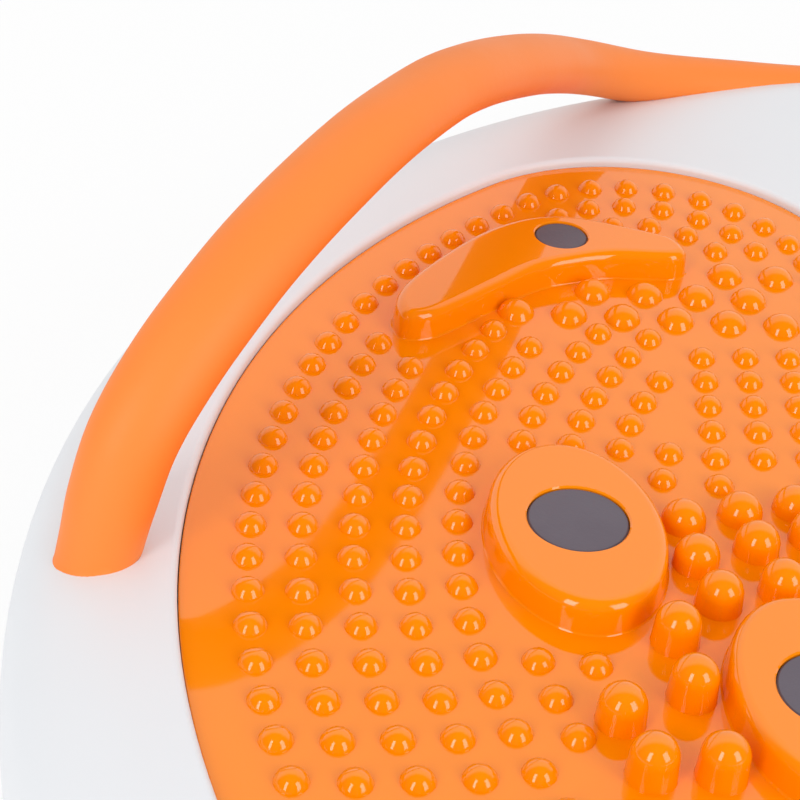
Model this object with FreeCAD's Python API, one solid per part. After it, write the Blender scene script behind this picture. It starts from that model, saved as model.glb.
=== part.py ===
# Waist twisting disc: a round turntable that a person stands on and twists from side to side.
# A white top shell carries two orange foot pads with massage bumps and magnets, and two bowed
# handles. It turns on a ring of steel balls above a base plate with rubber feet.
# Frame: origin on the floor at the disc's centre, +Z up the spin axis, +Y towards the toes,
# +X to the user's right. The right half mirrors the left. All lengths are in millimetres.
import FreeCAD
import Part
import math
import os

V = FreeCAD.Vector
UP = V(0, 0, 1)
ORIGIN = V(0, 0, 0)

# Overrun of every cutting tool past the face it cuts, and how near two heights count as one
overrun = 1.0
height_tolerance = 0.03
full_turn = 360.0
quarter_turn = 90.0

# Top shell, one white moulding
disc_radius = 200.0
shell_wall = 3.0
crest_round_radius = 38.0
crest_round_angle = 15.0
edge_round_radius = 11.0
skirt_bottom_z = 12.0
skirt_taper = 6.0
lip_round_radius = 1.2
shell_rib_count = 12
shell_rib_thickness = 2.5
shell_rib_bottom_z = 27.0

# Outline of one foot pad: a wide arc along the rim, a toe arc, a heel arc and a straight
# inner side
pad_inset = 32.0
pad_arc_radius = disc_radius - pad_inset
pad_arc_x = -6.0
pad_arc_y = 0.0
toe_radius = 43.6
toe_angle = 135.2
heel_radius = 42.0
heel_angle = 225.0
insert_thickness = 3.0
insert_recess = 1.8
insert_gap = 0.15
insert_edge_round = 0.5
tray_floor = 3.0

# Massage bumps: small domes in rings that follow the outline
bump_radius = 2.6
bump_height = 2.05
bump_draft = 20.0
bump_pitch = 8.0
bump_ring_inset = 10.6
bump_ring_step = 8.2
closed_ring_count = 4
inner_ring_count = 9
inner_ring_room_share = 0.4
bump_gap = 1.0

# Larger domes under the ball of the foot
ball_bump_radius = 3.6
ball_bump_height = 2.6
ball_bump_pitch = 10.2

# Tall round pins under the arch
pin_radius = 3.75
pin_height = 7.5
pin_draft = 3.0

# Raised pads that hold the magnets
pad_height = 5.6
pad_edge_round = 1.8
pad_flare = 0.8
egg_half_width = 13.7
egg_half_length = 20.8
egg_tilt = 10.0
heel_pad_half_width = 11.5
heel_pad_half_length = 16.0
toe_pad_arc_radius = 43.8
toe_pad_half_width = 8.6
toe_pad_first_angle = 75.0
toe_pad_last_angle = 166.0
toe_magnet_angle = 107.6
toe_magnet_offset = 1.0
magnet_thickness = 3.0
magnet_radius = 8.1
small_magnet_radius = 5.2
magnet_sink = 0.3
magnet_gap = 0.1
magnet_edge = 0.4

# Handles: an oval bar that lies along the rim at its toe end, arches up over the foot pad's
# outer edge and comes down in a steep heel leg
handle_rise = 44.0
handle_foot_sink = 0.2
handle_half_width = 7.5
handle_half_thickness = 6.0
handle_tip_length = 7.0
handle_section_count = 36
handle_crowding = 1.5
handle_tip_share = 0.2
handle_aim_share = 0.002
toe_screw_angles = (115.8, 119.4)
toe_screw_wall_inset = 8.4

# Under cover, a flat ring that closes the rim from below
cover_width = 34.0
cover_inner_radius = disc_radius - cover_width
cover_thickness = 2.5
cover_edge_gap = 0.3
cover_lip_height = 3.0
cover_lip_wall = 2.5
cover_boss_inset = 20.0
cover_boss_ring_radius = disc_radius - cover_boss_inset
cover_boss_radius = 5.0
cover_boss_count = 10
cover_boss_first_angle = 18.0

# Base
base_side_gap = 4.0
base_radius = cover_inner_radius - base_side_gap
base_thickness = 3.5
base_wall = 3.0
base_wall_top_z = 16.0
race_seat_height = 3.0
base_rib_count = 8
base_rib_thickness = 3.0
foot_radius = 13.0
foot_height = 5.0
foot_seat_depth = 1.5
foot_seat_clearance = 0.15
foot_inset = 19.0
foot_ring_radius = base_radius - foot_inset
foot_count = 8
foot_edge_round = 1.0
foot_boss_radius = 6.0
foot_boss_height = 6.0

# Ball race
race_inset = 42.0
race_radius = base_radius - race_inset
race_half_width = 8.0
race_thickness = 4.0
race_gap = 4.0
ball_radius = 4.0
ball_count = 30
groove_clearance = 0.05
cage_half_width = 13.0
cage_thickness = 2.0
cage_pocket_clearance = 0.25
race_seat_half_width = 11.0
race_seat_wall = 3.0
race_side_clearance = 0.1
deck_to_tray = 14.0

# Centre pivot
hub_radius = 18.0
hub_top_z = 16.0
hub_recess_radius = 12.5
hub_recess_top_z = 10.5
bolt_radius = 4.0
bolt_head_radius = 7.5
bolt_head_height = 4.0
bolt_head_edge = 0.6
bolt_socket_radius = 3.75
bolt_socket_depth = 2.4
bolt_hole_spare = 8.0
bolt_fit = 0.08
bush_radius = 6.0
bush_flange_radius = 10.0
bush_flange_thickness = 1.0
washer_radius = 9.5
washer_thickness = 1.2
running_gap = 0.3
thrust_washer_radius = 13.0
thrust_washer_thickness = 0.9
turret_radius = 14.0
nut_insert_radius = 6.0
nut_insert_length = 14.0
bolt_tip_gap = 1.0
seat_fit = 0.03

# Pan head screws
screw_radius = 1.5
screw_head_radius = 3.2
screw_head_height = 2.2
screw_length = 8.0
insert_screw_length = 4.5
handle_screw_length = 14.8
screw_hole_spare = 0.5
screw_hole_clearance = 0.05
screw_edge = 0.3
insert_boss_radius = 4.0
insert_boss_gap = 0.2
washer_face_radius = 5.5
handle_boss_radius = 5.0
handle_boss_drop = 4.0

# Places on a foot pad, as shares of the outline's wide arc radius from that arc's centre
egg_place_shares = ((-0.630, -0.022), (-0.420, -0.229))
heel_pad_place_share = (-0.560, -0.545)
toe_pad_place_share = (-0.552, 0.269)
insert_screw_place_shares = (
    (-0.86, 0.10), (-0.777, 0.423), (-0.455, 0.695), (-0.321, 0.244), (-0.46, -0.02),
    (-0.321, -0.46), (-0.72, -0.42))

# Where each closed ring of small domes starts, as a share of the pitch
ring_first_shares = (0.63, 0.5, 0.4, 0.3)

# Pins under the arch: their places like the ones above, then each one's height as a share
pin_shares = (
    (-0.523, 0.026, 0.58), (-0.466, 0.046, 0.58), (-0.410, 0.064, 0.58), (-0.516, -0.035, 0.72),
    (-0.456, -0.007, 0.72), (-0.400, 0.018, 0.72), (-0.500, -0.092, 0.82), (-0.439, -0.067, 0.82),
    (-0.384, -0.041, 0.82), (-0.544, -0.148, 0.95), (-0.535, -0.218, 1.0), (-0.598, -0.254, 0.87),
    (-0.576, -0.315, 0.97), (-0.518, -0.309, 1.0))

# Outline of the crescent toe pad: how far round its span each point lies, then how far out
# or in from the middle line, as a share of its half width
toe_pad_shares = (
    (0, -0.14), (0.03, 0.25), (0.08, 0.45), (0.21, 0.74), (0.285, 0.98), (0.357, 1.10),
    (0.448, 1.04), (0.58, 0.78), (0.814, 0.47), (0.945, 0.39), (1.025, 0.03), (1.0, -0.48),
    (0.9, -0.86), (0.733, -1.09), (0.525, -0.99), (0.367, -0.90), (0.226, -0.74),
    (0.077, -0.60), (0.02, -0.44))

# Rows of large domes: how many, then the first dome's place from the toe arc's centre, as
# shares of the toe radius, and each row's climb to the right as a share of the pitch
ball_row_shares = ((7, -0.61, -0.495), (5, -0.266, -0.27), (3, 0.35, -0.03))
ball_row_climb_share = 0.05

# The handle from its toe end to its heel leg: where its middle runs, sideways and lengthways as
# shares of the disc's radius and upwards as a share of the rise, and its half width
bow_path_shares = (
    (-0.060, 0.965, -0.139), (-0.163, 0.953, -0.127), (-0.250, 0.932, -0.105),
    (-0.330, 0.907, -0.059), (-0.444, 0.850, 0.055), (-0.531, 0.770, 0.248),
    (-0.586, 0.641, 0.505), (-0.631, 0.523, 0.705), (-0.667, 0.428, 0.841),
    (-0.700, 0.341, 0.932), (-0.746, 0.225, 0.982), (-0.787, 0.138, 0.941),
    (-0.822, 0.070, 0.864), (-0.852, 0.015, 0.755), (-0.879, -0.027, 0.614),
    (-0.902, -0.060, 0.436), (-0.916, -0.075, 0.225), (-0.925, -0.082, 0.036),
    (-0.935, -0.090, -0.191))
bow_width_shares = (0.81, 0.81, 0.81, 0.82, 0.89, 0.95, 0.99, 0.99, 0.97, 0.98, 1.0, 1.0, 0.985, 0.97,
                    0.96, 0.94, 0.92, 0.87, 0.85)
heel_screw_place_share = (-0.927, -0.084)

# Radii and heights that follow from the sizes above
base_bottom_z = foot_height - foot_seat_depth
base_floor_z = base_bottom_z + base_thickness
lower_race_z = base_floor_z + race_seat_height
ball_z = lower_race_z + race_thickness + race_gap / 2
upper_race_z = ball_z + race_gap / 2
race_deck_z = upper_race_z + race_thickness
tray_bottom_z = race_deck_z + deck_to_tray
pocket_floor_z = tray_bottom_z + tray_floor
insert_top_z = pocket_floor_z + insert_thickness
shell_top_z = insert_top_z + insert_recess
crest_radius = disc_radius - edge_round_radius - (
    crest_round_radius - edge_round_radius) * math.sin(math.radians(crest_round_angle))
bow_z = shell_top_z - handle_foot_sink
turret_bottom_z = hub_top_z + running_gap + thrust_washer_thickness
cover_top_z = skirt_bottom_z + cover_thickness
washer_top_z = hub_recess_top_z - bush_flange_thickness - running_gap
washer_bottom_z = washer_top_z - washer_thickness
handle_screw_seat_z = tray_bottom_z - handle_boss_drop


def polar(radius, degrees, z=0.0):
    """Point at a radius and an angle round the spin axis."""
    a = math.radians(degrees)
    return V(radius * math.cos(a), radius * math.sin(a), z)


def tube(outer, inner, z0, z1):
    """Upright ring between two radii and two heights."""
    ring = Part.makeCylinder(outer, z1 - z0, V(0, 0, z0))
    return ring.cut(Part.makeCylinder(inner, z1 - z0 + 2 * overrun, V(0, 0, z0 - overrun)))


def rod(radius, z0, z1, place=ORIGIN):
    """Upright cylinder at a place."""
    return Part.makeCylinder(radius, z1 - z0, V(place.x, place.y, z0))


def turned(points_and_arcs):
    """Solid turned about the spin axis from a closed profile of edges in the XZ plane."""
    face = Part.Face(Part.Wire(points_and_arcs))
    return face.revolve(ORIGIN, UP, full_turn)


def line(a, b):
    return Part.LineSegment(a, b).toShape()


def arc(a, middle, b):
    return Part.Arc(a, middle, b).toShape()


def profile_point(centre_r, centre_z, radius, degrees_from_up):
    """Point of a round in the XZ plane, its angle counted from straight up, outwards."""
    a = math.radians(degrees_from_up)
    return V(centre_r + radius * math.sin(a), 0, centre_z + radius * math.cos(a))


def shell_form(inset):
    """Outer form of the top shell, drawn in by a wall thickness."""
    crest = V(crest_radius, 0, shell_top_z - inset)
    a = crest_round_angle
    crest_z = shell_top_z - crest_round_radius
    break_point = profile_point(crest_radius, crest_z, crest_round_radius - inset, a)
    crest_mid = profile_point(crest_radius, crest_z, crest_round_radius - inset, a / 2)
    edge_centre = profile_point(crest_radius, crest_z, crest_round_radius - edge_round_radius, a)
    edge_radius = edge_round_radius - inset
    edge_mid = profile_point(edge_centre.x, edge_centre.z, edge_radius, (a + quarter_turn) / 2)
    edge_end = profile_point(edge_centre.x, edge_centre.z, edge_radius, quarter_turn)
    bottom_z = skirt_bottom_z - (overrun if inset else 0)
    foot = V(disc_radius - skirt_taper - inset, 0, bottom_z)
    axis_top = V(0, 0, crest.z)
    axis_bottom = V(0, 0, bottom_z)
    return turned([line(axis_bottom, foot), line(foot, edge_end), arc(edge_end, edge_mid, break_point),
                   arc(break_point, crest_mid, crest), line(crest, axis_top),
                   line(axis_top, axis_bottom)])


class Outline:
    """Edge of a foot pad, grown outwards by a length, or drawn in by a negative one."""

    def __init__(self, grow):
        self.centre = V(pad_arc_x, pad_arc_y, 0)
        self.radius = pad_arc_radius + grow
        self.toe = self.centre + polar(pad_arc_radius - toe_radius, toe_angle)
        self.heel = self.centre + polar(pad_arc_radius - heel_radius, heel_angle)
        self.toe_r = toe_radius + grow
        self.heel_r = heel_radius + grow
        between = self.toe - self.heel
        lean = math.degrees(math.acos((heel_radius - toe_radius) / between.Length))
        self.side_angle = math.degrees(math.atan2(between.y, between.x)) - lean

    def wire(self, z):
        side = self.side_angle
        a = self.centre + polar(self.radius, toe_angle)
        b = self.centre + polar(self.radius, (toe_angle + heel_angle) / 2)
        c = self.centre + polar(self.radius, heel_angle)
        d = self.heel + polar(self.heel_r, (heel_angle + side + 360) / 2)
        e = self.heel + polar(self.heel_r, side)
        f = self.toe + polar(self.toe_r, side)
        g = self.toe + polar(self.toe_r, (side + toe_angle) / 2)
        wire = Part.Wire([arc(a, b, c), arc(c, d, e), line(e, f), arc(f, g, a)])
        wire.translate(V(0, 0, z))
        return wire

    def prism(self, z0, z1):
        return Part.Face(self.wire(z0)).extrude(V(0, 0, z1 - z0))

    def spans(self):
        """The outline's stretches in order from the rim side: centre, radius, first and last
        angle, or two points for the straight side."""
        side = self.side_angle
        middle = (toe_angle + heel_angle) / 2
        e = self.heel + polar(self.heel_r, side)
        f = self.toe + polar(self.toe_r, side)
        return [("arc", self.centre, self.radius, middle, heel_angle),
                ("arc", self.heel, self.heel_r, heel_angle, side + 360),
                ("line", e, f),
                ("arc", self.toe, self.toe_r, side, toe_angle),
                ("arc", self.centre, self.radius, toe_angle, middle)]

    def places(self, pitch, first_share):
        """Points evenly spaced round the outline, about a pitch apart, from a first one."""
        spans = self.spans()
        lengths = [(s[2] - s[1]).Length if s[0] == "line"
                   else s[2] * math.radians(s[4] - s[3]) for s in spans]
        count = round(sum(lengths) / pitch)
        step = sum(lengths) / count
        found = []
        for i in range(count):
            along = (i + first_share) * step
            for span, length in zip(spans, lengths):
                if along <= length:
                    break
                along -= length
            share = along / length
            if span[0] == "line":
                found.append(span[1] + (span[2] - span[1]) * share)
            else:
                found.append(span[1] + polar(span[2], span[3] + (span[4] - span[3]) * share))
        return found

    def holds(self, p):
        """True where a point lies inside the outline."""
        if (p - self.centre).Length > self.radius:
            return False
        if (p - self.toe).Length <= self.toe_r or (p - self.heel).Length <= self.heel_r:
            return True
        between = self.toe - self.heel
        along = (p - self.heel).dot(between) / between.Length
        out = polar(1, self.side_angle)
        inner_side = out.dot(p - self.heel) <= self.heel_r
        angle = math.degrees(math.atan2(p.y - self.centre.y, p.x - self.centre.x)) % 360
        in_sector = toe_angle <= angle <= heel_angle
        return inner_side and (in_sector or 0 <= along <= between.Length)


def on_pad(share):
    """Place on a foot pad from shares of the wide arc's radius."""
    return V(pad_arc_x + share[0] * pad_arc_radius, pad_arc_y + share[1] * pad_arc_radius, 0)


def toe_pad_point(angle, radial):
    """Point of the crescent toe pad at an angle and a distance from its middle line."""
    return on_pad(toe_pad_place_share) + polar(toe_pad_arc_radius + radial, angle)


def toe_pad_wire(grow, z):
    """Closed smooth outline of the crescent toe pad, grown outwards."""
    span = toe_pad_last_angle - toe_pad_first_angle
    points = [toe_pad_point(toe_pad_first_angle + along * span, out * toe_pad_half_width)
              for along, out in toe_pad_shares]
    grown = []
    for i, p in enumerate(points):
        way = points[(i + 1) % len(points)] - points[i - 1]
        way.normalize()
        grown.append(p + way.cross(UP) * grow + V(0, 0, z))
    curve = Part.BSplineCurve()
    curve.interpolate(Points=grown, PeriodicFlag=True)
    return Part.Wire([curve.toShape()])


def egg_wire(place, half_width, half_length, grow, z):
    """Oval outline of an egg pad, its long axis leaning outwards at the toe end."""
    ellipse = Part.Ellipse(ORIGIN, half_length + grow, half_width + grow)
    wire = Part.Wire([ellipse.toShape()])
    wire.rotate(ORIGIN, UP, quarter_turn + egg_tilt)
    wire.translate(V(place.x, place.y, z))
    return wire


def raised_pad(wire_at):
    """Raised pad with flared sides and a rounded upper edge, from its outline at a growth."""
    foot = wire_at(pad_flare, insert_top_z - insert_thickness / 2)
    top = wire_at(0, insert_top_z + pad_height)
    pad = Part.makeLoft([foot, top], True, True)
    edges = [e for e in pad.Edges if e.BoundBox.ZMin > insert_top_z + pad_height - overrun]
    return pad.makeFillet(pad_edge_round, edges)


def dome(place, radius, height, draft):
    """Stud that stands on the insert, its side drawn in by a draft angle to a round top."""
    foot_z = insert_top_z - insert_thickness / 2
    slope = math.radians(draft)
    round_radius = (radius - height * math.tan(slope)) * math.cos(slope) / (1 - math.sin(slope))
    centre_z = insert_top_z + height - round_radius
    side_angle = quarter_turn - draft
    side_top = profile_point(0, centre_z, round_radius, side_angle)
    foot = V(radius, 0, insert_top_z)
    top = V(0, 0, insert_top_z + height)
    stud = turned([line(V(0, 0, foot_z), V(radius, 0, foot_z)), line(V(radius, 0, foot_z), foot),
                   line(foot, side_top),
                   arc(side_top, profile_point(0, centre_z, round_radius, side_angle / 2), top),
                   line(top, V(0, 0, foot_z))])
    stud.translate(V(place.x, place.y, 0))
    return stud


def egg_clear(p, place, half_width, half_length, margin):
    """True where a point keeps a margin from an egg pad."""
    turned_point = p - place
    a = math.radians(quarter_turn + egg_tilt)
    u = turned_point.x * math.cos(a) + turned_point.y * math.sin(a)
    w = -turned_point.x * math.sin(a) + turned_point.y * math.cos(a)
    return (u / (half_length + margin)) ** 2 + (w / (half_width + margin)) ** 2 > 1


def pin_places():
    """Place and height of each tall pin."""
    return [(on_pad(share), pin_height * share[2]) for share in pin_shares]


def ball_bump_places():
    """Large domes stand in rows under the ball of the foot, inside the outermost small ring."""
    toe = Outline(0).toe
    room = Outline(-bump_ring_inset - bump_radius - bump_gap - ball_bump_radius)
    found = []
    for count, x_share, y_share in ball_row_shares:
        start = toe + V(x_share * toe_radius, y_share * toe_radius, 0)
        for i in range(count):
            p = start + V(i * ball_bump_pitch, i * ball_bump_pitch * ball_row_climb_share, 0)
            if room.holds(p):
                found.append(p)
    return found


def bump_places():
    """Small domes fill rings that follow the outline, clear of everything else on the pad."""
    rows = []
    for ring in range(closed_ring_count):
        outline = Outline(-bump_ring_inset - ring * bump_ring_step)
        rows.append(outline.places(bump_pitch, ring_first_shares[ring]))
    rings_in = closed_ring_count - 1 + inner_ring_room_share
    room = Outline(-bump_ring_inset - rings_in * bump_ring_step)
    middle = (toe_angle + heel_angle) / 2
    for ring in range(closed_ring_count, closed_ring_count + inner_ring_count):
        radius = pad_arc_radius - bump_ring_inset - ring * bump_ring_step
        step = math.degrees(bump_pitch / radius)
        count = int((heel_angle - middle) / step)
        points = [room.centre + polar(radius, middle + i * step) for i in range(-count, count + 1)]
        rows.append([p for p in points if room.holds(p)])
    margin = pad_flare + bump_radius + bump_gap
    toe_pad_room = Part.Face(toe_pad_wire(margin, 0))
    pins = [place for place, height in pin_places()]
    balls = ball_bump_places()
    found = []
    for p in [p for row in rows for p in row]:
        clear = all(egg_clear(p, on_pad(s), egg_half_width, egg_half_length, margin)
                    for s in egg_place_shares)
        clear = clear and egg_clear(p, on_pad(heel_pad_place_share), heel_pad_half_width,
                                    heel_pad_half_length, margin)
        clear = clear and not toe_pad_room.isInside(p, height_tolerance, True)
        clear = clear and all((p - q).Length > pin_radius + bump_radius + bump_gap for q in pins)
        clear = clear and all((p - q).Length > ball_bump_radius + bump_radius + bump_gap
                              for q in balls)
        clear = clear and all((p - q).Length > 2 * bump_radius + bump_gap for q in found)
        if clear:
            found.append(p)
    return found


def magnet_places():
    """Name, place and radius of each magnet in the left foot pad."""
    return [("toe_magnet", toe_pad_point(toe_magnet_angle, toe_magnet_offset),
             small_magnet_radius),
            ("outer_arch_magnet", on_pad(egg_place_shares[0]), magnet_radius),
            ("inner_arch_magnet", on_pad(egg_place_shares[1]), magnet_radius),
            ("heel_magnet", on_pad(heel_pad_place_share), small_magnet_radius)]


def foot_insert():
    """Orange foot pad: plate, bumps, pins and raised pads in one moulding."""
    plate = Outline(-insert_gap).prism(pocket_floor_z, insert_top_z)
    rim = [e for e in plate.Edges if e.BoundBox.ZMin > insert_top_z - insert_thickness / 2]
    plate = plate.makeFillet(insert_edge_round, rim)
    studs = [dome(p, bump_radius, bump_height, bump_draft) for p in bump_places()]
    studs += [dome(p, ball_bump_radius, ball_bump_height, bump_draft) for p in ball_bump_places()]
    studs += [dome(p, pin_radius, height, pin_draft) for p, height in pin_places()]
    pads = [raised_pad(toe_pad_wire)]
    for share in egg_place_shares:
        pads.append(raised_pad(lambda grow, z, s=share: egg_wire(
            on_pad(s), egg_half_width, egg_half_length, grow, z)))
    pads.append(raised_pad(lambda grow, z: egg_wire(
        on_pad(heel_pad_place_share), heel_pad_half_width, heel_pad_half_length, grow, z)))
    boss_bottom_z = tray_bottom_z + insert_boss_gap
    boss_top_z = pocket_floor_z + insert_thickness / 2
    bosses = [rod(insert_boss_radius, boss_bottom_z, boss_top_z, on_pad(s))
              for s in insert_screw_place_shares]
    insert = plate.multiFuse(studs + pads + bosses)
    tools = []
    seat_z = insert_top_z + pad_height - magnet_sink - magnet_thickness
    for name, place, radius in magnet_places():
        tools.append(rod(radius + magnet_gap, seat_z, insert_top_z + pad_height + overrun, place))
    for share in insert_screw_place_shares:
        tools.append(rod(screw_radius + screw_hole_clearance, boss_bottom_z - overrun,
                         tray_bottom_z + insert_screw_length + screw_hole_spare, on_pad(share)))
    return insert.cut(Part.makeCompound(tools))


def magnet(place, radius):
    """Disc magnet with a small chamfer, let into its raised pad."""
    seat_z = insert_top_z + pad_height - magnet_sink - magnet_thickness
    disc = rod(radius, seat_z, seat_z + magnet_thickness, place)
    return disc.makeChamfer(magnet_edge, [e for e in disc.Edges if len(e.Vertexes) == 1])


def screw(place, seat_z, length, face_radius):
    """Pan head screw that points up from a seat, its head below."""
    head = rod(face_radius, seat_z - screw_head_height, seat_z, place)
    lower = [e for e in head.Edges if e.BoundBox.ZMax < seat_z - screw_head_height / 2]
    head = head.makeChamfer(screw_edge, lower)
    shank = rod(screw_radius, seat_z - screw_head_height / 2, seat_z + length, place)
    slot = rod(screw_radius, seat_z - screw_head_height - overrun,
               seat_z - screw_head_height / 2 - screw_edge, place)
    return head.fuse(shank).cut(slot)


def cover_screw_places():
    return [polar(cover_boss_ring_radius, cover_boss_first_angle + i * full_turn / cover_boss_count)
            for i in range(cover_boss_count)]


def handle_screw_places():
    """Places of the left handle's screws: one up its heel leg and two in its toe end."""
    heel = V(*[share * disc_radius for share in heel_screw_place_share], 0)
    return [heel] + [polar(disc_radius - toe_screw_wall_inset, a) for a in toe_screw_angles]


def mirrored(shape):
    return shape.mirror(ORIGIN, V(1, 0, 0))


def eased(shares, along):
    """Smooth value between even steps, at a share of the way along them."""
    steps = len(shares) - 1
    i = min(int(along * steps), steps - 1)
    t = along * steps - i
    before, here, there = shares[max(i - 1, 0)], shares[i], shares[i + 1]
    after = shares[min(i + 2, steps)]
    return 0.5 * (2 * here + (there - before) * t
                  + (2 * before - 5 * here + 4 * there - after) * t ** 2
                  + (3 * here - before - 3 * there + after) * t ** 3)


def handle_curve(along):
    """Middle of the handle's bar at a share of the way along it."""
    x, y, rise = [eased([step[k] for step in bow_path_shares], along) for k in range(3)]
    return V(disc_radius * x, disc_radius * y, bow_z + handle_rise * rise)


def handle_bar():
    """Oval bar along the bow, with a rounded toe end."""
    wires = []
    for i in range(handle_section_count):
        along = (i / (handle_section_count - 1)) ** handle_crowding
        middle = handle_curve(along)
        to_end = (middle - handle_curve(0)).Length
        closing = 1.0
        if to_end < handle_tip_length:
            closing = max(math.sqrt(1 - (1 - to_end / handle_tip_length) ** 2), handle_tip_share)
        way = (handle_curve(min(along + handle_aim_share, 1))
               - handle_curve(max(along - handle_aim_share, 0)))
        way.normalize()
        half_width = handle_half_width * eased(bow_width_shares, along)
        half_thickness = min(handle_half_thickness, half_width)
        ellipse = Part.Ellipse(ORIGIN, half_width * closing, half_thickness * closing)
        wire = Part.Wire([ellipse.toShape()])
        outwards = V(middle.x, middle.y, 0)
        turn = FreeCAD.Rotation(outwards, outwards.cross(way), way, "ZXY")
        wire.Placement = FreeCAD.Placement(middle, turn)
        wires.append(wire)
    return Part.makeLoft(wires, True, False)


def top_shell():
    """White top moulding with foot pad pockets, race seat, pivot turret, ribs and bosses."""
    shell = shell_form(0).cut(shell_form(shell_wall))
    inside = shell_form(shell_wall / 2)
    join_z = shell_top_z - shell_wall / 2
    lip_z = upper_race_z + race_thickness / 2
    seat_in = race_radius - race_seat_half_width
    seat_out = race_radius + race_seat_half_width
    race_in = race_radius - race_half_width - race_side_clearance
    race_out = race_radius + race_half_width + race_side_clearance
    parts = [tube(seat_out, seat_in, race_deck_z, race_deck_z + shell_wall),
             tube(seat_out, race_out, lip_z, race_deck_z + overrun),
             tube(race_in, seat_in, lip_z, race_deck_z + overrun),
             tube(seat_in + race_seat_wall, seat_in, race_deck_z, join_z),
             tube(seat_out, seat_out - race_seat_wall, race_deck_z, join_z),
             rod(turret_radius, turret_bottom_z, join_z)]
    for i in range(shell_rib_count):
        corner = V(turret_radius - shell_wall / 2, -shell_rib_thickness / 2, shell_rib_bottom_z)
        rib = Part.makeBox(disc_radius, shell_rib_thickness, join_z - shell_rib_bottom_z, corner)
        rib.rotate(ORIGIN, UP, (i + 0.5) * full_turn / shell_rib_count)
        parts.append(rib.common(inside))
    for place in cover_screw_places():
        parts.append(rod(cover_boss_radius, cover_top_z, shell_top_z, place).common(inside))
    left_bosses = [rod(handle_boss_radius, handle_screw_seat_z, shell_top_z, p).common(inside)
                   for p in handle_screw_places()]
    parts += left_bosses + [mirrored(b) for b in left_bosses]
    tray = Outline(shell_wall).prism(tray_bottom_z, join_z).common(inside)
    parts += [tray, mirrored(tray)]
    shell = shell.multiFuse(parts)
    pocket = Outline(0).prism(pocket_floor_z, shell_top_z + overrun)
    shell = shell.cut(Part.makeCompound([pocket, mirrored(pocket)]))
    rim = [e for e in shell.Edges if e.BoundBox.ZMin > shell_top_z - lip_round_radius
           and e.BoundBox.ZLength < lip_round_radius / 2
           and abs(e.CenterOfMass.z - shell_top_z) < height_tolerance
           and e.BoundBox.DiagonalLength < 2 * pad_arc_radius]
    shell = shell.makeFillet(lip_round_radius, rim)
    nut_top_z = turret_bottom_z + running_gap + nut_insert_length
    tools = [rod(nut_insert_radius + seat_fit, turret_bottom_z - overrun, nut_top_z),
             rod(bolt_radius + bolt_fit, turret_bottom_z, nut_top_z + bolt_hole_spare)]
    hole_radius = screw_radius + screw_hole_clearance
    for place in cover_screw_places():
        tools.append(rod(hole_radius, skirt_bottom_z, cover_top_z + screw_length, place))
    left = [rod(hole_radius, handle_screw_seat_z - overrun, shell_top_z + overrun, p)
            for p in handle_screw_places()]
    left += [rod(insert_boss_radius + insert_boss_gap, tray_bottom_z - overrun,
                 pocket_floor_z + overrun, on_pad(s)) for s in insert_screw_place_shares]
    tools += left + [mirrored(t) for t in left]
    return shell.cut(Part.makeCompound(tools))


def handle():
    """Left handle, its feet cut to lie on the rim."""
    bar = handle_bar().cut(shell_form(0))
    tools = [rod(screw_radius + screw_hole_clearance, tray_bottom_z,
                 handle_screw_seat_z + handle_screw_length + screw_hole_spare, p)
             for p in handle_screw_places()]
    return bar.cut(Part.makeCompound(tools))


def race_ring(z0, z1):
    """Pressed steel ring with a round groove for the balls."""
    ring = tube(race_radius + race_half_width, race_radius - race_half_width, z0, z1)
    groove = Part.makeTorus(race_radius, ball_radius + groove_clearance, V(0, 0, ball_z), UP)
    return ring.cut(groove)


def ball_places():
    return [polar(race_radius, i * full_turn / ball_count, ball_z) for i in range(ball_count)]


def ball_cage():
    """Flat plastic ring with a hole for each ball."""
    ring = tube(race_radius + cage_half_width, race_radius - cage_half_width,
                ball_z - cage_thickness / 2, ball_z + cage_thickness / 2)
    holes = [rod(ball_radius + cage_pocket_clearance, ball_z - cage_thickness,
                 ball_z + cage_thickness, p) for p in ball_places()]
    return ring.cut(Part.makeCompound(holes))


def foot_places():
    return [polar(foot_ring_radius, (i + 0.5) * full_turn / foot_count) for i in range(foot_count)]


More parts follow.
